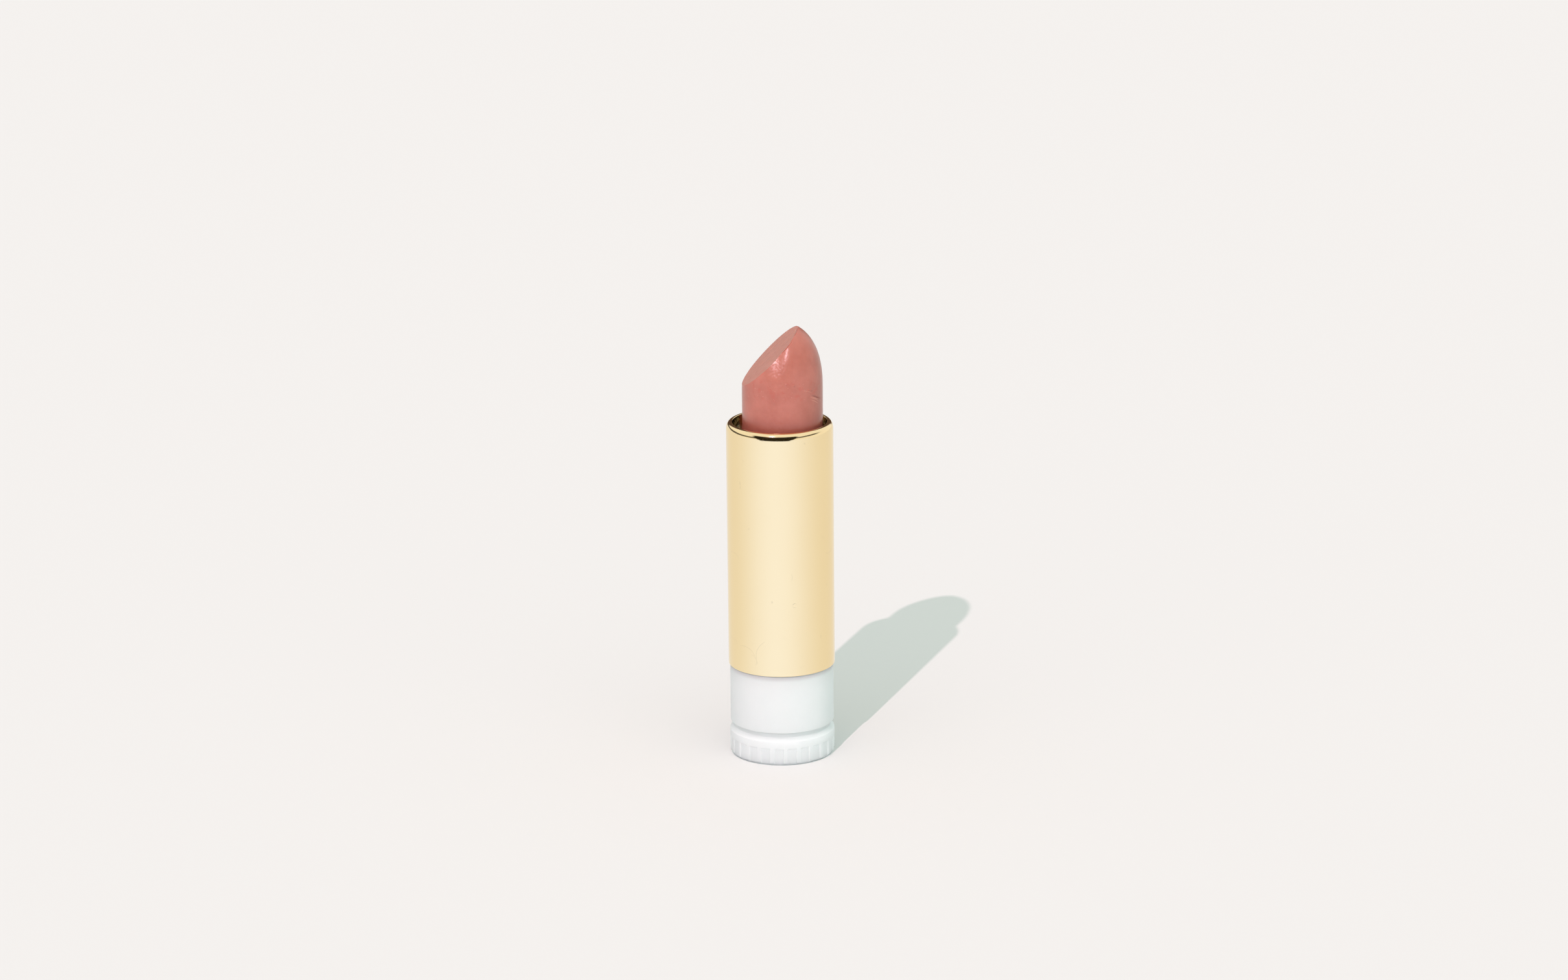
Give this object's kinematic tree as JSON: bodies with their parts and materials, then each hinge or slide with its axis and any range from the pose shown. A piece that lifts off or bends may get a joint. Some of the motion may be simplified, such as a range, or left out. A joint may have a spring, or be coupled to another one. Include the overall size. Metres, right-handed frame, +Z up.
{
  "type": "lipstick refill",
  "caption": "Uncapped twist-up lipstick refill: gold sleeve turning on a translucent ribbed base lifts a slant-cut lipstick in its cup.",
  "frame": {"origin": "on the axis, at the underside of the foot", "axes": "+Z up along the axis towards the lipstick's tip; the slanted face looks along -X"},
  "size_m": [0.0166, 0.0166, 0.0687],
  "materials": {
    "frosted_plastic": "natural translucent polypropylene, frosted",
    "label_paper": "blank matt label",
    "silicone": "clear silicone, greased",
    "gold_metal": "pale gold anodised, mirror to satin",
    "cam_plastic": "white moulded acetal",
    "cup_plastic": "white moulded acetal",
    "lipstick_wax": "dusty rose wax, satin sides and a duller slanted face"
  },
  "bodies": {
    "base": {"inner_body": "frosted_plastic", "shade_label": "label_paper", "drag_ring_lower": "silicone", "drag_ring_upper": "silicone"},
    "sleeve": {"outer_sleeve": "gold_metal", "cam_tube": "cam_plastic"},
    "carrier": {"carrier_cup": "cup_plastic", "lipstick_bullet": "lipstick_wax"}
  },
  "joints": [
    {"name": "sleeve_twist", "type": "hinge", "parent": "base", "child": "sleeve", "pos_m": [0, 0, 0.034], "axis": [0, 0, -1], "range_deg": [-322, 71.9]},
    {"name": "carrier_lift", "type": "slide", "parent": "base", "child": "carrier", "axis": [0, 0, 1], "range_m": [-0.0179, 0.004]}
  ],
  "couplings": [
    {"joint": "carrier_lift", "follows": "sleeve_twist", "m_per_rad": 0.0031831}
  ]
}
